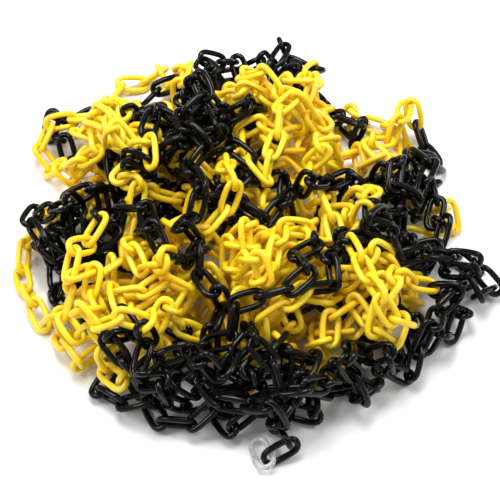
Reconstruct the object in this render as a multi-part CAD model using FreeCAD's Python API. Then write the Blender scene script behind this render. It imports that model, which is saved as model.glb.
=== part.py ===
import FreeCAD, Part
import math
import os

# A loose heap of plastic barrier chain, about 27 m in one length, yellow and black by turns.
# Millimetres, +Z up, origin on the floor under the middle of the heap.

# One moulded link: a round bar bent to a closed oval.
LINK_LENGTH = 40.0
LINK_WIDTH = 21.0
BAR = 6.2
PLAY = 0.6            # room between two hooked bars

BAR_R = BAR / 2
BEND_R = LINK_WIDTH / 2 - BAR_R
HALF_SIDE = (LINK_LENGTH - LINK_WIDTH) / 2
PITCH = LINK_LENGTH - 2 * BAR
APART = BAR + PLAY    # from bar centre to bar centre at the least
TWIST_SLACK = 7.0     # how much looser a link hangs as it twists out of square to the last

BLACK, YELLOW = "black", "yellow"


def loops(middle, reach, turns, lean):
    """A scribble of loops of uneven size that fills an oval on the plan."""
    points = []
    for step in range(int(turns * 14)):
        t = step * 2 * math.pi / 14
        swell = 0.72 + 0.28 * math.sin(0.37 * t + lean)
        points.append((middle[0] + reach[0] * swell * math.cos(t + lean + 0.5 * math.sin(0.61 * t)),
                       middle[1] + reach[1] * swell * math.sin(1.13 * t + lean)))
    return points


# The chain's route on the plan, colour by colour, from the free end up to the top of the heap.
TAIL = [(BLACK, [(46, -250), (46, -236), (28, -214), (50, -200), (80, -190)])]
FLOOR = [
    (BLACK, [(50, -204), (64, -196), (44, -184), (22, -192), (10, -206), (-6, -220), (-28, -240),
             (-48, -230), (-62, -242), (-86, -230), (-105, -205), (-128, -210), (-146, -192), (-128, -176)]),
    (YELLOW, [(-136, -164), (-154, -146), (-174, -128), (-192, -106), (-208, -82), (-222, -56), (-230, -28),
              (-222, 4), (-208, 34), (-186, 54), (-160, 66), (-140, 50)]),
    (BLACK, [(-170, 30), (-200, 14), (-208, -10), (-204, -40), (-192, -72), (-176, -104), (-160, -132),
             (-138, -150), (-118, -170), (-110, -196), (-84, -200), (-60, -186), (-30, -205), (0, -190)]),
    (YELLOW, loops((-80, -100), (90, 50), 2.2, 0.4)),
    (BLACK, [(-40, -180), (0, -200), (40, -190), (60, -206), (84, -206), (106, -186), (116, -170), (90, -160),
             (128, -152), (152, -144), (146, -128), (120, -136)]),
    (YELLOW, loops((70, -95), (100, 50), 2.2, 2.0)),
    (BLACK, [(160, -130), (185, -120), (206, -98), (190, -80), (222, -70), (232, -42), (212, -24),
             (188, -44), (165, -60), (180, -20), (150, -30)]),
    (YELLOW, [(178, 0), (206, -6), (200, 22), (186, 40), (160, 60), (130, 80), (156, 124), (176, 150),
              (150, 164), (120, 140), (90, 130)]),
    (BLACK, [(120, 150), (136, 172), (112, 192), (92, 176), (76, 188), (60, 214), (40, 240), (16, 226),
             (-8, 236), (-34, 230), (-60, 222), (-80, 208), (-60, 186)]),
    (YELLOW, loops((20, 130), (85, 50), 2.2, 1.0)),
    (BLACK, [(-60, 160), (-88, 190), (-120, 190), (-146, 164), (-178, 168), (-200, 148), (-214, 122),
             (-190, 90), (-170, 110), (-140, 100), (-110, 110)]),
    (YELLOW, loops((-100, 60), (85, 60), 2.0, 3.0)),
]
CORE = [
    (BLACK, loops((-125, -30), (75, 75), 2.0, 0.0)),
    (YELLOW, loops((-90, -125), (90, 40), 2.2, 1.3)),
    (BLACK, loops((0, -200), (140, 24), 1.6, 2.2)),
    (YELLOW, loops((90, -110), (90, 45), 2.0, 4.2)),
    (BLACK, loops((130, -20), (80, 90), 1.8, 1.0)),
    (YELLOW, loops((60, 90), (90, 70), 1.4, 2.6)),
    (BLACK, loops((-60, 60), (90, 80), 1.8, 5.0)),
    (YELLOW, loops((0, -15), (70, 50), 1.4, 0.5)),
    (BLACK, loops((15, 10), (80, 60), 1.4, 2.0)),
]
TOP = [
    (YELLOW, [(-208, 142), (-222, 130), (-214, 106), (-194, 84), (-168, 82), (-172, 58), (-148, 52),
              (-122, 46), (-102, 44), (-128, 20), (-150, 8), (-134, -6), (-110, 0), (-110, -30),
              (-104, -60), (-98, -90), (-84, -112), (-60, -120)]),
    (BLACK, [(-84, -70), (-110, -20), (-140, -22), (-168, -18), (-192, 4), (-206, 8), (-198, -20),
             (-184, -50), (-164, -44), (-150, -66), (-128, -58), (-120, -30), (-140, -40)]),
    (YELLOW, [(-166, -66), (-176, -88), (-166, -108), (-144, -102), (-120, -88), (-100, -104), (-116, -122),
              (-138, -128), (-126, -150), (-116, -176), (-96, -192), (-82, -210)]),
    (BLACK, [(-74, -206), (-96, -182), (-74, -176), (-48, -190), (-52, -222), (-24, -226), (-10, -196),
             (20, -196), (34, -226), (60, -210), (70, -188), (94, -184), (102, -202), (82, -210),
             (110, -176), (134, -160), (146, -166), (162, -144), (182, -124), (204, -104), (198, -88)]),
    (YELLOW, [(194, -100), (170, -110), (148, -104), (122, -118), (144, -126), (122, -148), (104, -160),
              (110, -138), (100, -112), (82, -94), (72, -84)]),
    (BLACK, [(100, -70), (126, -60), (160, -52), (190, -50), (214, -64), (226, -92), (210, -84), (180, -70),
             (150, -80), (120, -84), (136, -50), (150, -20), (130, -8)]),
    (YELLOW, [(104, -10), (106, -44), (86, -30), (66, -52), (60, -24), (84, -8), (64, 24), (62, 54), (84, 60),
              (70, 84), (98, 76), (120, 70), (142, 62), (112, 100), (138, 108), (156, 136), (160, 158),
              (182, 150)]),
    (BLACK, [(186, 124), (200, 96), (206, 92), (184, 76), (168, 84), (176, 50), (172, 10), (150, 46),
             (122, 52), (100, 36), (84, 14), (68, 0), (50, -16), (22, -16), (0, -34), (-24, 0)]),
    (YELLOW, [(-60, 4), (-66, -24), (-80, -44), (-88, -70), (-66, -66), (-50, -40), (-40, -24), (-28, 4),
              (-22, 28), (-10, 54), (4, 74), (34, 80), (60, 92), (44, 120), (20, 110), (0, 130), (-12, 116),
              (-6, 150), (-40, 160)]),
    (BLACK, [(-56, 186), (-44, 216), (-12, 228), (22, 224), (34, 206), (20, 238), (52, 250), (58, 222)]),
    (YELLOW, [(60, 196), (68, 170), (56, 146), (30, 160), (8, 176), (24, 140), (54, 120), (66, 130),
              (80, 106), (60, 90), (30, 96), (26, 60), (20, 30), (6, 24)]),
    (BLACK, [(-20, 36), (-52, 26), (-86, 14), (-92, 0), (-50, 56), (-40, 76), (-54, 96), (-80, 110),
             (-72, 150), (-80, 112), (-94, 60), (-100, 30), (-118, 4), (-126, -12)]),
    (YELLOW, [(-112, -30), (-100, 20), (-120, 60), (-146, 66), (-156, 106), (-166, 152), (-158, 188),
              (-120, 218), (-80, 234), (-66, 180), (-82, 134), (-104, 118), (-128, 114), (-144, 90)]),
    (BLACK, [(-124, 70), (-104, 76), (-84, 84), (-56, 64), (-60, 20), (-50, -30), (-36, -46), (-50, -62),
             (-70, -94), (-50, -110), (-36, -132), (-14, -148), (20, -154), (50, -142), (64, -126), (64, -98),
             (80, -82)]),
    (YELLOW, [(70, -60), (52, -56), (44, -84), (26, -102), (50, -98), (52, -126), (24, -140), (2, -138),
              (-8, -116), (20, -112), (-24, -120), (-34, -96), (-20, -72), (0, -92), (22, -46), (14, -68),
              (-10, -66)]),
]


def cross(p, q):
    return (p[1] * q[2] - p[2] * q[1], p[2] * q[0] - p[0] * q[2], p[0] * q[1] - p[1] * q[0])


def dot(p, q):
    return p[0] * q[0] + p[1] * q[1] + p[2] * q[2]


def along(start, *moves):
    """start moved by each (distance, direction)"""
    x, y, z = start
    for distance, way in moves:
        x += distance * way[0]
        y += distance * way[1]
        z += distance * way[2]
    return (x, y, z)


def oval(count):
    """Points round the bar's centre line, in the link's own plane, in order."""
    side = 2 * HALF_SIDE
    bend = math.pi * BEND_R
    points = []
    for k in range(count):
        s = (k + 0.5) * 2 * (side + bend) / count
        far = 1 if s < side + bend else -1
        if far < 0:
            s -= side + bend
        if s < bend:
            turn = s / BEND_R - math.pi / 2
            x, y = HALF_SIDE + BEND_R * math.cos(turn), BEND_R * math.sin(turn)
        else:
            x, y = HALF_SIDE - (s - bend), BEND_R
        points.append((far * x, far * y))
    return points


class Draws:
    """A fixed run of pseudo-random numbers from 0 to 1."""
    def __init__(self, seed):
        self.state = seed

    def next(self):
        self.state = (self.state * 1103515245 + 12345) % 2147483648
        return self.state / 2147483648.0


SAMPLES = 28
STRIDE = 11
IN_ORDER = oval(SAMPLES)
SPREAD = [IN_ORDER[(k * STRIDE) % SAMPLES] for k in range(SAMPLES)]
CELL = LINK_LENGTH + 1.0


class Heap:
    """Laid links, in order, and by the cube of space that they lie in."""
    def __init__(self):
        self.links = []
        self.cubes = {}

    def cube(self, place):
        return (int(place[0] // CELL), int(place[1] // CELL), int(place[2] // CELL))

    def keep_clear(self, link):
        self.cubes.setdefault(self.cube(link[0]), []).append(link)

    def add(self, link):
        self.links.append(link)
        self.keep_clear(link)

    def pop(self):
        link = self.links.pop()
        self.cubes[self.cube(link[0])].remove(link)

    def near(self, place):
        """Links whose middles are close enough to touch one at this place, nearest first."""
        i, j, k = self.cube(place)
        found = []
        for di in (-1, 0, 1):
            for dj in (-1, 0, 1):
                for dk in (-1, 0, 1):
                    for link in self.cubes.get((i + di, j + dj, k + dk), ()):
                        o = link[0]
                        gap = (o[0] - place[0]) ** 2 + (o[1] - place[1]) ** 2 + (o[2] - place[2]) ** 2
                        if gap < CELL * CELL:
                            found.append((gap, link))
        found.sort(key=lambda pair: pair[0])
        return [link for gap, link in found]


def clear(link, others):
    """True if the link's bar stays APART from the bars of the others."""
    (cx, cy, cz), (ux, uy, uz), (vx, vy, vz), n = link
    points = [(cx + x * ux + y * vx, cy + x * uy + y * vy, cz + x * uz + y * vz) for x, y in SPREAD]
    least = APART * APART
    for (ox, oy, oz), (ax, ay, az), (bx, by, bz), (nx, ny, nz) in others:
        for px, py, pz in points:
            dx = px - ox
            dy = py - oy
            dz = pz - oz
            h = dx * nx + dy * ny + dz * nz
            h *= h
            if h >= least:
                continue
            x = dx * ax + dy * ay + dz * az
            y = dx * bx + dy * by + dz * bz
            if x > HALF_SIDE:
                x -= HALF_SIDE
            elif x < -HALF_SIDE:
                x += HALF_SIDE
            else:
                x = 0.0
            q = math.sqrt(x * x + y * y) - BEND_R
            if q * q + h < least:
                return False
    return True


def threads(link, other):
    """How often the link's bar passes through the other's eye, one way counted against the other."""
    c, u, v, n = link
    o, a, b, m = other
    count = 0
    last = None
    for x, y in IN_ORDER + IN_ORDER[:1]:
        d = tuple(c[k] + x * u[k] + y * v[k] - o[k] for k in range(3))
        here = (dot(d, a), dot(d, b), dot(d, m))
        if last is not None and (last[2] < 0) != (here[2] < 0):
            f = last[2] / (last[2] - here[2])
            px = last[0] + f * (here[0] - last[0])
            py = last[1] + f * (here[1] - last[1])
            px = max(0.0, abs(px) - HALF_SIDE)
            if px * px + py * py < BEND_R * BEND_R:
                count += 1 if here[2] > 0 else -1
        last = here
    return count


def above_floor(link):
    c, u, v, n = link
    return c[2] - HALF_SIDE * abs(u[2]) - BEND_R * math.hypot(u[2], v[2]) - BAR_R >= 0.0


def hooked(last, u, twist):
    """The link hooked through the far end of the last one, that reaches out along u."""
    c, pu, pv, pn = last
    across = dot(u, pv)
    phi = math.atan2(across, dot(u, pu))
    phi = max(-math.pi / 2, min(math.pi / 2, phi))
    cos_phi, sin_phi = math.cos(phi), math.sin(phi)
    hold = along(c, (HALF_SIDE + BEND_R * cos_phi, pu), (BEND_R * sin_phi, pv))
    tangent = along((0, 0, 0), (-sin_phi, pu), (cos_phi, pv))
    lean = dot(tangent, u)
    square = 1 - lean * lean
    if square < 0.3:
        return None
    square = math.sqrt(square)
    t = tuple((tangent[k] - lean * u[k]) / square for k in range(3))
    v = along((0, 0, 0), (math.cos(twist), cross(t, u)), (math.sin(twist), t))
    slack = 0.05 + TWIST_SLACK * (1 - math.cos(twist))
    middle = along(hold, (HALF_SIDE + BEND_R - APART / square - slack, u))
    return (middle, u, v, cross(u, v))


def far_end(link):
    return along(link[0], (HALF_SIDE + BEND_R, link[1]))


# Headings either side of the route and twists out of square that the next link is tried at, and slopes in
# degrees from the lowest up.
TURNS = [math.radians(d) for d in (0, -22, 22, -45, 45, -72, 72, -105, 105)]
TWISTS = [math.radians(d) for d in (0, -20, 20, -40, 40)]
LOWEST, HIGHEST, STEP = -72, 75, 8
HEIGHT_COST = 0.6


def choices(heap, target, draws):
    """Places for the next link, best first: near the target and low."""
    last = heap.links[-1]
    end = far_end(last)
    ahead = math.atan2(target[1] - end[1], target[0] - end[0])
    found = []
    for turn in TURNS:
        side = 1 if draws.next() < 0.5 else -1
        placed = None
        for degrees in range(LOWEST, HIGHEST, STEP):
            placed = try_twists(heap, last, ahead + turn, math.radians(degrees), side)
            if placed:
                break
        if not placed:
            continue
        # settle: half way down to the last blocked slope, and again
        low, high = degrees - STEP, degrees
        for halving in range(2 if degrees > LOWEST else 0):
            middle = (low + high) / 2
            lower = try_twists(heap, last, ahead + turn, math.radians(middle), side)
            if lower:
                placed, high = lower, middle
            else:
                low = middle
        tip = far_end(placed)
        cost = math.hypot(tip[0] - target[0], tip[1] - target[1]) + HEIGHT_COST * tip[2] + 5 * draws.next()
        found.append((cost, placed))
    found.sort(key=lambda pair: pair[0])
    return found


def try_twists(heap, last, heading, slope, side):
    u = (math.cos(slope) * math.cos(heading), math.cos(slope) * math.sin(heading), math.sin(slope))
    for twist in TWISTS:
        link = hooked(last, u, side * twist)
        if link is None or not above_floor(link) or not clear(link, [last]):
            continue
        others = [o for o in heap.near(link[0]) if o[0] is not last[0]]
        if clear(link, others) and not any(threads(link, o) for o in others) and threads(link, last):
            return link
    return None


class Path:
    """A run's route as a polyline walked by length."""
    def __init__(self, points):
        self.points = points
        self.marks = [0.0]
        for p, q in zip(points, points[1:]):
            self.marks.append(self.marks[-1] + math.hypot(q[0] - p[0], q[1] - p[1]))
        self.length = self.marks[-1]

    def at(self, s):
        s = max(0.0, min(self.length, s))
        for k in range(len(self.points) - 1):
            if s <= self.marks[k + 1]:
                f = (s - self.marks[k]) / max(1e-6, self.marks[k + 1] - self.marks[k])
                p, q = self.points[k], self.points[k + 1]
                return (p[0] + f * (q[0] - p[0]), p[1] + f * (q[1] - p[1]))
        return self.points[-1]


SEED = 14
LOOK_AHEAD = 30.0     # the next link heads for the spot of the route this far on
SEARCH = 70.0         # how far on along the route the chain's place on it is looked for


def lay(heap, route, draws, most=None):
    """Lays the chain along the route, on from the heap's last link, and gives each link's colour."""
    points = []
    joins = []
    for colour, part in route:
        points += part
        joins.append((len(points) - 1, colour))
    path = Path(points)
    ends = [(path.marks[k], colour) for k, colour in joins]
    gone = [0.0]
    options = [None]
    while gone[-1] < path.length - LOOK_AHEAD and len(gone) != most:
        if len(options) < len(gone) + 1:
            end = far_end(heap.links[-1])
            best = min((math.hypot(path.at(gone[-1] + d)[0] - end[0], path.at(gone[-1] + d)[1] - end[1]), d)
                       for d in range(0, int(SEARCH), 4))
            here = min(path.length, gone[-1] + best[1])
            options.append([choices(heap, path.at(here + LOOK_AHEAD), draws), here])
        found, here = options[-1]
        if found:
            cost, link = found.pop(0)
            heap.add(link)
            gone.append(here)
        else:
            options.pop()
            heap.pop()
            gone.pop()
    return [next(colour for mark, colour in ends if s <= mark + 1e-6) for s in gone[1:]]


def lying(middle, heading, slope, lean):
    """A link on the floor that points along heading, rises by slope and leans over by lean, in degrees."""
    heading, slope, lean = math.radians(heading), math.radians(slope), math.radians(lean)
    u = (math.cos(slope) * math.cos(heading), math.cos(slope) * math.sin(heading), math.sin(slope))
    level = (-math.sin(heading), math.cos(heading), 0.0)
    v = along((0, 0, 0), (math.cos(lean), level), (math.sin(lean), cross(u, level)))
    height = HALF_SIDE * abs(u[2]) + BEND_R * math.hypot(u[2], v[2]) + BAR_R + 0.02
    return ((middle[0], middle[1], height), u, v, cross(u, v))


def turned(link, pivot, angle):
    """The link turned by angle about the upright axis through pivot."""
    c, s = math.cos(angle), math.sin(angle)
    spun = [(c * x - s * y, s * x + c * y, z) for x, y, z in (along(link[0], (-1, pivot)),) + link[1:]]
    return (along(spun[0], (1, pivot)), spun[1], spun[2], spun[3])


def hold_point(link, following):
    """Where the following link hooks in this one: half way between the two bars."""
    far = []
    near = []
    for degrees in range(-85, 86, 5):
        out = HALF_SIDE + BEND_R * math.cos(math.radians(degrees))
        across = BEND_R * math.sin(math.radians(degrees))
        far.append(along(link[0], (out, link[1]), (across, link[2])))
        near.append(along(following[0], (-out, following[1]), (across, following[2])))
    p, q = min(((p, q) for p in far for q in near), key=lambda pair: math.dist(*pair))
    return along((0, 0, 0), (0.5, p), (0.5, q))


def reach(link, axis):
    """How far the link reaches from its middle along X (0), Y (1) or Z (2)."""
    return HALF_SIDE * abs(link[1][axis]) + BEND_R * math.hypot(link[1][axis], link[2][axis]) + BAR_R


# The end link stands on its edge; the joining link hangs in its near end and lies back on the floor.
END_LINK = ((31.0, -262.0), 24, 16, 60)
JOINING_LINK = ((13.4, -260.8), 109, -8, -12)
# The end link and the two behind it swing, so the heap leaves room for them at these angles.
SWINGS = [20, 20, 15]

draws = Draws(SEED)
heap = Heap()
heap.add(lying(*END_LINK))
joining = lying(*JOINING_LINK)
heap.keep_clear(joining)
colours = [BLACK] + lay(heap, TAIL, draws, len(SWINGS) + 1)
moving = [joining] + heap.links[:len(SWINGS)]
for k in reversed(range(len(SWINGS))):
    pivot = hold_point(heap.links[k], heap.links[k + 1])
    for share in (-1, -0.5, 0.5, 1):
        moving += [turned(link, pivot, math.radians(share * SWINGS[k])) for link in moving[:k + 2]]
for link in moving[len(SWINGS) + 1:]:
    heap.keep_clear(link)
colours += lay(heap, FLOOR + CORE + TOP, draws)

everything = [joining] + heap.links
to_middle = [-(min(link[0][k] - reach(link, k) for link in everything)
               + max(link[0][k] + reach(link, k) for link in everything)) / 2 for k in (0, 1)] + [0.0]
joining, *links = [(along(link[0], (1, to_middle)),) + link[1:] for link in everything]

# The split joining link hangs in the end link and lies back on the floor beside it.
JOINING_BAR = 5.2
SLEEVE_LENGTH = 9.0
SLIT = 0.6


def oval_bar(bar_radius):
    """The closed oval bar in its own plane, length along X and width along Y."""
    far = Part.makeTorus(BEND_R, bar_radius, FreeCAD.Vector(), FreeCAD.Vector(0, 0, 1), 0, 360, 180)
    far.rotate(FreeCAD.Vector(), FreeCAD.Vector(0, 0, 1), -90)
    near = far.copy()
    near.rotate(FreeCAD.Vector(), FreeCAD.Vector(0, 0, 1), 180)
    far.translate(FreeCAD.Vector(HALF_SIDE, 0, 0))
    near.translate(FreeCAD.Vector(-HALF_SIDE, 0, 0))
    sides = [Part.makeCylinder(bar_radius, 2 * HALF_SIDE, FreeCAD.Vector(-HALF_SIDE, y, 0),
                               FreeCAD.Vector(1, 0, 0)) for y in (BEND_R, -BEND_R)]
    return far.fuse([near] + sides).removeSplitter().Solids[0]


def joining_bar():
    """An oval bar with a snap sleeve half way along one side, slit on the slant to spring open."""
    sleeve = Part.makeCylinder(BAR_R, SLEEVE_LENGTH, FreeCAD.Vector(-SLEEVE_LENGTH / 2, -BEND_R, 0),
                               FreeCAD.Vector(1, 0, 0))
    cut = Part.makeBox(SLIT, LINK_WIDTH / 2, LINK_WIDTH,
                       FreeCAD.Vector(-SLIT / 2, -LINK_WIDTH / 4, -LINK_WIDTH / 2))
    cut.rotate(FreeCAD.Vector(), FreeCAD.Vector(0, 1, 0), 35)
    cut.translate(FreeCAD.Vector(0, -BEND_R, 0))
    return oval_bar(JOINING_BAR / 2).fuse(sleeve).removeSplitter().cut(cut).Solids[0]


def placed(solid, link):
    """A copy of the solid moved to where the link lies."""
    c, u, v, n = link
    piece = solid.copy()
    piece.Placement = FreeCAD.Placement(FreeCAD.Matrix(u[0], v[0], n[0], c[0], u[1], v[1], n[1], c[1],
                                                       u[2], v[2], n[2], c[2], 0, 0, 0, 1))
    return piece


def save(name, solids):
    shape = solids[0] if len(solids) == 1 else Part.makeCompound(solids)
    shape.exportStep(os.path.join("parts", name + ".step"))


os.makedirs("parts", exist_ok=True)
TAIL_NAMES = ["end_link", "tail_link_2", "tail_link_3"]
bar = oval_bar(BAR_R)
for name, link in zip(TAIL_NAMES, links):
    save(name, [placed(bar, link)])
save("joining_link", [placed(joining_bar(), joining)])
start = len(TAIL_NAMES)
number = 0
while start < len(links):
    stop = start
    while stop < len(links) and colours[stop] == colours[start]:
        stop += 1
    number += 1
    save("%s_run_%02d" % (colours[start], number), [placed(bar, link) for link in links[start:stop]])
    start = stop
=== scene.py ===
import math

import bmesh
import bpy
import numpy as np
from mathutils import Matrix, Vector


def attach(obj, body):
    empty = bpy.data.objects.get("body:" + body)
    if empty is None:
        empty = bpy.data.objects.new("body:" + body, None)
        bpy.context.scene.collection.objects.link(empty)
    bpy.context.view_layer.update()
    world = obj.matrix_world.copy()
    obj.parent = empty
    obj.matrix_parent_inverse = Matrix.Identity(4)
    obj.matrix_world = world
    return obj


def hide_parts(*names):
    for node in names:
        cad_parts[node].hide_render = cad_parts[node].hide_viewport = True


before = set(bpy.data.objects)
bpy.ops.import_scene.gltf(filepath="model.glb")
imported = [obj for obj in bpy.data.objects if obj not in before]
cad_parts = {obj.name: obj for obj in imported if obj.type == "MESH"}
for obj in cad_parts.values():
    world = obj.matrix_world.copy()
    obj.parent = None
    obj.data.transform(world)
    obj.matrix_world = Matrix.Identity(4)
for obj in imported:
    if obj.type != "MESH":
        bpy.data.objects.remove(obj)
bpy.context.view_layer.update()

# ---- Viewpoint -----------------------------------------------------------------------------------------------
# The heap lies on the floor and is seen from the front, from half way up to overhead, by someone standing about
# a metre and a half away. The free end lies towards the viewer.
view_distance = 1.6
view_height = math.radians(50)
looks_at = Vector((-0.007, -0.022, 0.020))
viewpoint = bpy.data.cameras.new("viewpoint")
viewpoint.lens = 115.2
viewpoint.sensor_width = 36
camera = bpy.data.objects.new("viewpoint", viewpoint)
bpy.context.scene.collection.objects.link(camera)
back = Vector((0, -math.cos(view_height), math.sin(view_height)))
camera.location = looks_at + back * view_distance
camera.rotation_euler = (-back).to_track_quat("-Z", "Y").to_euler()
bpy.context.scene.camera = camera

# ---- Yellow runs ---------------------------------------------------------------------------------------------
# A link is one injection moulding of polyethylene: a round bar bent to a closed oval, with a fine parting line
# round its outside and inside where the two halves of the mould met. Links are hooked together while open and
# then welded, so each is a closed ring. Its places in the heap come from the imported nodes.
link_length = 0.040
link_width = 0.021
bar_radius = 0.0031
bend_radius = link_width / 2 - bar_radius
half_side = (link_length - link_width) / 2
sides_round = 6
bend_steps = 4
# The subdivision draws the bar in towards its middle and cuts the corners of the bends. So the bar's cage is made
# this much wider, and the rings of the bends are set this much further out and are a little wider again.
cage = 1.0 / 0.8317
side_out = 0.00007
bend_out = 0.00073
bend_wider = 0.108


def link_mesh(name):
    """One oval link about the origin, length along X and width along Y."""
    bm = bmesh.new()
    ring = bmesh.ops.create_circle(bm, radius=bar_radius * cage, segments=sides_round)["verts"]
    bmesh.ops.rotate(bm, verts=ring, cent=(0, 0, 0), matrix=Matrix.Rotation(math.pi / 2, 3, "Y"))
    bmesh.ops.translate(bm, verts=ring, vec=(-half_side, bend_radius + side_out, 0))
    end = list(bm.edges)
    for turn in (1, -1):
        side = bmesh.ops.extrude_edge_only(bm, edges=end)["geom"]
        moved = [part for part in side if isinstance(part, bmesh.types.BMVert)]
        bmesh.ops.translate(bm, verts=moved, vec=(2 * half_side * turn, 0, 0))
        rim = [part for part in side if isinstance(part, bmesh.types.BMEdge)]
        last = bmesh.ops.spin(bm, geom=rim + moved, cent=(half_side * turn, 0, 0), axis=(0, 0, -1),
                              angle=math.pi, steps=bend_steps, use_merge=False)["geom_last"]
        end = [part for part in last if isinstance(part, bmesh.types.BMEdge)]
    bmesh.ops.remove_doubles(bm, verts=bm.verts, dist=1e-5)
    bmesh.ops.recalc_face_normals(bm, faces=bm.faces)
    outward = bm.verts.layers.float.new("outward")
    bm.verts.layers.float.new("tone")
    for vert in bm.verts:
        beyond = max(-half_side, min(half_side, vert.co.x))
        spoke = Vector((vert.co.x - beyond, vert.co.y, 0))
        # 1 on the outside of the oval and -1 on its inside, where the parting line runs
        vert[outward] = max(-1.0, min(1.0, (spoke.length - bend_radius) / bar_radius))
        if abs(spoke.x) > bend_out:
            vert.co += spoke.normalized() * (bend_out + bend_wider * (spoke.length - bend_radius - side_out))
    mesh = bpy.data.meshes.new(name)
    bm.to_mesh(mesh)
    bm.free()
    return mesh


def link_places(node):
    """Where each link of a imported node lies: its middle and its length, width and thickness directions."""
    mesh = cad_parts[node].data
    corners = np.empty(len(mesh.vertices) * 3, np.float32)
    mesh.vertices.foreach_get("co", corners)
    corners = corners.reshape(-1, 3)
    mesh.calc_loop_triangles()
    triangles = np.empty(len(mesh.loop_triangles) * 3, np.int32)
    mesh.loop_triangles.foreach_get("vertices", triangles)
    shared = np.unique(corners, axis=0, return_inverse=True)[1].ravel()
    joined = shared[triangles].reshape(-1, 3)
    group = np.arange(shared.max() + 1)
    while True:
        least = group[joined].min(axis=1)
        lower = group.copy()
        for corner in range(3):
            np.minimum.at(lower, joined[:, corner], least)
        lower = lower[lower]
        if (lower == group).all():
            break
        group = lower
    surface = corners[triangles].reshape(-1, 3, 3).astype(float)
    of_link = group[joined[:, 0]]
    places = []
    for number in np.unique(of_link):
        part = surface[of_link == number]
        area = np.linalg.norm(np.cross(part[:, 1] - part[:, 0], part[:, 2] - part[:, 0]), axis=1)
        spots = part.mean(axis=1)
        middle = (spots * area[:, None]).sum(axis=0) / area.sum()
        away = spots - middle
        thin, wide, long = np.linalg.eigh((away * area[:, None]).T @ away)[1].T
        thin = np.cross(long, wide)
        place = Matrix((long, wide, thin)).transposed().to_4x4()
        place.translation = Vector(middle)
        places.append(place)
    return places


def chain_run(name, node, body, seed, finish):
    """One length of chain: the link set down at each of the node's places, each a little lighter or darker."""
    tones = np.random.default_rng(seed)
    bm = bmesh.new()
    for place in link_places(node):
        before = len(bm.verts)
        bm.from_mesh(link)
        bm.verts.ensure_lookup_table()
        new = bm.verts[before:]
        bmesh.ops.transform(bm, matrix=place, verts=new)
        layer = bm.verts.layers.float["tone"]
        tone = tones.random()
        for vert in new:
            vert[layer] = tone
    for face in bm.faces:
        face.smooth = True
    mesh = bpy.data.meshes.new(name)
    bm.to_mesh(mesh)
    bm.free()
    mesh.materials.append(finish)
    piece = bpy.data.objects.new(name, mesh)
    bpy.context.scene.collection.objects.link(piece)
    rounded = piece.modifiers.new("rounded", "SUBSURF")
    rounded.levels = 1
    rounded.render_levels = 1
    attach(piece, body)
    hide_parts(node)


def add_node(tree, kind, **settings):
    """A shader node with its sockets or properties set by name."""
    node = tree.nodes.new(kind)
    for name, value in settings.items():
        if hasattr(node, name):
            setattr(node, name, value)
        else:
            node.inputs[name.replace("_", " ").title()].default_value = value
    return node


def spread(tree, source, low, high, to_low, to_high):
    """Maps the source from low..high to to_low..to_high."""
    mapped = tree.nodes.new("ShaderNodeMapRange")
    mapped.inputs["From Min"].default_value = low
    mapped.inputs["From Max"].default_value = high
    mapped.inputs["To Min"].default_value = to_low
    mapped.inputs["To Max"].default_value = to_high
    tree.links.new(source, mapped.inputs["Value"])
    return mapped.outputs["Result"]


# Sizes of the patterns, in repeats per metre, and the height of the moulding's relief in metres.
cloud_scale = 70.0
scuff_scale = 240.0
grain_scale = 900.0
relief_height = 0.0003
link_to_link = 0.5
scuff_from, scuff_to = 0.45, 0.75
line_from, line_to = 0.955, 0.995


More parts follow.
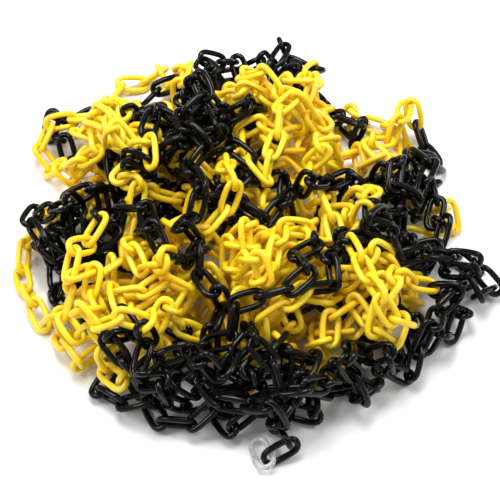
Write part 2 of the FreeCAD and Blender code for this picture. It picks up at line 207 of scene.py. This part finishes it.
def moulded(name, dark, light, gloss, scuffed, line, grain):
    """Moulded plastic: uneven pigment, light scuffs, and a parting line round the inside and outside."""
    plastic = bpy.data.materials.new(name)
    plastic.use_nodes = True
    tree = plastic.node_tree
    shader = tree.nodes["Principled BSDF"]
    place = tree.nodes.new("ShaderNodeTexCoord").outputs["Object"]
    # pigment: clouds along the bars, and each link a little lighter or darker than the next
    clouds = add_node(tree, "ShaderNodeTexNoise", scale=cloud_scale, detail=3.0)
    tree.links.new(place, clouds.inputs["Vector"])
    shade = add_node(tree, "ShaderNodeAttribute", attribute_name="tone")
    mixed = add_node(tree, "ShaderNodeMath", operation="MULTIPLY_ADD")
    tree.links.new(shade.outputs["Fac"], mixed.inputs[0])
    mixed.inputs[1].default_value = link_to_link
    tree.links.new(clouds.outputs["Fac"], mixed.inputs[2])
    pigment = tree.nodes.new("ShaderNodeValToRGB")
    pigment.color_ramp.elements[0].position = 0.35
    pigment.color_ramp.elements[0].color = dark
    pigment.color_ramp.elements[1].position = 1.0
    pigment.color_ramp.elements[1].color = light
    tree.links.new(mixed.outputs[0], pigment.inputs["Fac"])
    tree.links.new(pigment.outputs["Color"], shader.inputs["Base Color"])
    # scuffs: short scratches where links have rubbed together
    rubbed = add_node(tree, "ShaderNodeTexNoise", scale=scuff_scale, detail=6.0, distortion=1.6)
    tree.links.new(place, rubbed.inputs["Vector"])
    dulled = spread(tree, rubbed.outputs["Fac"], scuff_from, scuff_to, gloss, scuffed)
    tree.links.new(dulled, shader.inputs["Roughness"])
    # parting line, and the faint grain of the mould
    outward = add_node(tree, "ShaderNodeAttribute", attribute_name="outward")
    either = add_node(tree, "ShaderNodeMath", operation="ABSOLUTE")
    tree.links.new(outward.outputs["Fac"], either.inputs[0])
    ridge = spread(tree, either.outputs[0], line_from, line_to, 0.0, line)
    fine = add_node(tree, "ShaderNodeTexNoise", scale=grain_scale, detail=2.0)
    tree.links.new(place, fine.inputs["Vector"])
    relief = add_node(tree, "ShaderNodeMath", operation="MULTIPLY_ADD")
    tree.links.new(fine.outputs["Fac"], relief.inputs[0])
    relief.inputs[1].default_value = grain
    tree.links.new(ridge, relief.inputs[2])
    bump = add_node(tree, "ShaderNodeBump", strength=0.5, distance=relief_height)
    tree.links.new(relief.outputs[0], bump.inputs["Height"])
    tree.links.new(bump.outputs["Normal"], shader.inputs["Normal"])
    return plastic


yellow = moulded("yellow_plastic", dark=(0.90, 0.57, 0.008, 1), light=(1.0, 0.74, 0.022, 1),
                 gloss=0.28, scuffed=0.42, line=0.9, grain=0.10)
shader = yellow.node_tree.nodes["Principled BSDF"]
shader.inputs["IOR"].default_value = 1.5
shader.inputs["Subsurface Weight"].default_value = 0.35
shader.inputs["Subsurface Radius"].default_value = (1.0, 0.6, 0.1)
shader.inputs["Subsurface Scale"].default_value = 0.003

link = link_mesh("link")
for node in sorted(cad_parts):
    if node.startswith("yellow_run"):
        number = int(node[-2:])
        chain_run("yellow_links_%02d" % number, node, "heap", number, yellow)

# ---- Black runs ----------------------------------------------------------------------------------------------
# The same link in black polyethylene, shinier and with fine handling scuffs. The runs are hooked to the yellow
# ones end to end, so that the colours follow each other along one chain.
black = moulded("black_plastic", dark=(0.0014, 0.0014, 0.0016, 1), light=(0.0038, 0.0037, 0.0036, 1),
                gloss=0.07, scuffed=0.22, line=0.9, grain=0.12)
shader = black.node_tree.nodes["Principled BSDF"]
shader.inputs["IOR"].default_value = 1.48
shader.inputs["Specular IOR Level"].default_value = 0.24

for node in sorted(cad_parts):
    if node.startswith("black_run"):
        number = int(node[-2:])
        chain_run("black_links_%02d" % number, node, "heap", number, black)

# ---- Free end ------------------------------------------------------------------------------------------------
# The last three black links lie free in front of the heap. They are the same closed mouldings, hooked loosely
# one in the next, and each can swing about the place where it hooks in its neighbour.
for node in ("end_link", "tail_link_2", "tail_link_3"):
    chain_run(node + "_bar", node, node, len(node), black)

# ---- Joining link --------------------------------------------------------------------------------------------
# A split link of milky see-through plastic, moulded in one piece, that hangs in the end link and joins it to
# another chain or a post. Its bar is thinner than the chain's and is cut on the slant in a short thick sleeve,
# where it springs open and snaps shut.
joining_radius = 0.0026
sleeve_half = 0.0045
sleeve_edge = 0.0003
slit_half = 0.000366
slit_slant = math.radians(35)
joining_sides = 16
joining_bend_steps = 12

bm = bmesh.new()


def swept(edges, shift, thicker=1.0):
    """Carries the open end on by shift, and makes it thicker or thinner."""
    grown = bmesh.ops.extrude_edge_only(bm, edges=edges)["geom"]
    verts = [part for part in grown if isinstance(part, bmesh.types.BMVert)]
    bmesh.ops.translate(bm, verts=verts, vec=shift)
    heart = sum((vert.co for vert in verts), Vector()) / len(verts)
    bmesh.ops.scale(bm, verts=verts, vec=(1, thicker, thicker), space=Matrix.Translation(-heart))
    return [part for part in grown if isinstance(part, bmesh.types.BMEdge)]


def bent(edges, heart):
    """Carries the open end on round half a turn."""
    verts = list({vert for edge in edges for vert in edge.verts})
    last = bmesh.ops.spin(bm, geom=edges + verts, cent=heart, axis=(0, 0, 1), angle=math.pi,
                          steps=joining_bend_steps)["geom_last"]
    return [part for part in last if isinstance(part, bmesh.types.BMEdge)]


ring = bmesh.ops.create_circle(bm, radius=bar_radius, segments=joining_sides)["verts"]
bmesh.ops.rotate(bm, verts=ring, cent=(0, 0, 0), matrix=Matrix.Rotation(math.pi / 2, 3, "Y"))
bmesh.ops.translate(bm, verts=ring, vec=(sleeve_half - sleeve_edge, -bend_radius, 0))
first_mouth = list(bm.edges)
end = swept(first_mouth, (sleeve_edge, 0, 0), 1 - sleeve_edge / bar_radius)
end = swept(end, (0, 0, 0), joining_radius / (bar_radius - sleeve_edge))
end = swept(end, (half_side - sleeve_half, 0, 0))
end = bent(end, (half_side, 0, 0))
end = swept(end, (-2 * half_side, 0, 0))
end = bent(end, (-half_side, 0, 0))
end = swept(end, (half_side - sleeve_half, 0, 0))
end = swept(end, (0, 0, 0), (bar_radius - sleeve_edge) / joining_radius)
second_mouth = swept(end, (sleeve_edge, 0, 0), bar_radius / (bar_radius - sleeve_edge))
for mouth, side in ((first_mouth, 1), (second_mouth, -1)):
    lip = swept(mouth, (-side * (sleeve_half - sleeve_edge), 0, 0))
    for vert in {vert for edge in lip for vert in edge.verts}:
        vert.co.x = side * slit_half + math.tan(slit_slant) * vert.co.z
    bmesh.ops.contextual_create(bm, geom=lip)
bmesh.ops.remove_doubles(bm, verts=bm.verts, dist=1e-6)
bmesh.ops.recalc_face_normals(bm, faces=bm.faces)

where = link_places("joining_link")[0]
into_link = where.inverted()
along_link = np.array([(into_link @ vert.co)[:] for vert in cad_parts["joining_link"].data.vertices])
if along_link[:, 1].max() + along_link[:, 1].min() > 0:
    # the sleeve is on the link's low side
    where = where @ Matrix.Rotation(math.pi, 4, "X")
    along_link[:, 1] *= -1
middle = (along_link.max(axis=0) + along_link.min(axis=0)) / 2
middle[1] += (bar_radius - joining_radius) / 2
bmesh.ops.transform(bm, matrix=where @ Matrix.Translation(middle), verts=bm.verts)
for face in bm.faces:
    face.smooth = len(face.verts) == 4
mesh = bpy.data.meshes.new("joining_link_bar")
bm.to_mesh(mesh)
bm.free()
joining_bar = bpy.data.objects.new("joining_link_bar", mesh)
bpy.context.scene.collection.objects.link(joining_bar)

milky = bpy.data.materials.new("clear_plastic")
milky.use_nodes = True
tree = milky.node_tree
shader = tree.nodes["Principled BSDF"]
shader.inputs["IOR"].default_value = 1.49
shader.inputs["Transmission Weight"].default_value = 0.62
shader.inputs["Subsurface Weight"].default_value = 0.1
shader.inputs["Subsurface Radius"].default_value = (1.0, 1.0, 1.0)
shader.inputs["Subsurface Scale"].default_value = 0.003
place = tree.nodes.new("ShaderNodeTexCoord").outputs["Object"]
haze = add_node(tree, "ShaderNodeTexNoise", scale=160.0, detail=3.0)
tree.links.new(place, haze.inputs["Vector"])
tint = tree.nodes.new("ShaderNodeValToRGB")
tint.color_ramp.elements[0].color = (0.80, 0.82, 0.84, 1)
tint.color_ramp.elements[1].color = (0.93, 0.94, 0.95, 1)
tree.links.new(haze.outputs["Fac"], tint.inputs["Fac"])
tree.links.new(tint.outputs["Color"], shader.inputs["Base Color"])
tree.links.new(spread(tree, haze.outputs["Fac"], 0.35, 0.7, 0.16, 0.34), shader.inputs["Roughness"])
mesh.materials.append(milky)
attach(joining_bar, "joining_link")
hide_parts("joining_link")

# ---- Floor and light -----------------------------------------------------------------------------------------
# The heap lies on a plain pale floor in a softly lit room, under a large soft light from above and behind, with
# a smaller one at each side.
bpy.ops.mesh.primitive_plane_add(size=12, location=(0, 0, 0))
floor = bpy.context.object
floor.name = "floor"
pale = bpy.data.materials.new("pale_floor")
pale.use_nodes = True
shader = pale.node_tree.nodes["Principled BSDF"]
shader.inputs["Base Color"].default_value = (0.92, 0.92, 0.92, 1)
shader.inputs["Roughness"].default_value = 0.8
floor.data.materials.append(pale)

for name, place, size, power in (("top_light", (-0.1, 0.25, 1.4), 0.75, 19.5),
                                 ("left_light", (-1.2, -0.2, 1.2), 0.50, 9.0),
                                 ("right_light", (1.2, 0.0, 1.2), 0.50, 8.0)):
    lamp = bpy.data.lights.new(name, "AREA")
    lamp.size = size
    lamp.energy = power
    light = bpy.data.objects.new(name, lamp)
    light.location = place
    light.rotation_euler = (Vector((0, 0, 0.05)) - Vector(place)).to_track_quat("-Z", "Y").to_euler()
    bpy.context.scene.collection.objects.link(light)
sky = bpy.data.worlds.new("soft_room")
sky.use_nodes = True
sky.node_tree.nodes["Background"].inputs["Color"].default_value = (1, 1, 1, 1)
sky.node_tree.nodes["Background"].inputs["Strength"].default_value = 0.42
bpy.context.scene.world = sky
bpy.context.scene.view_settings.view_transform = "Standard"
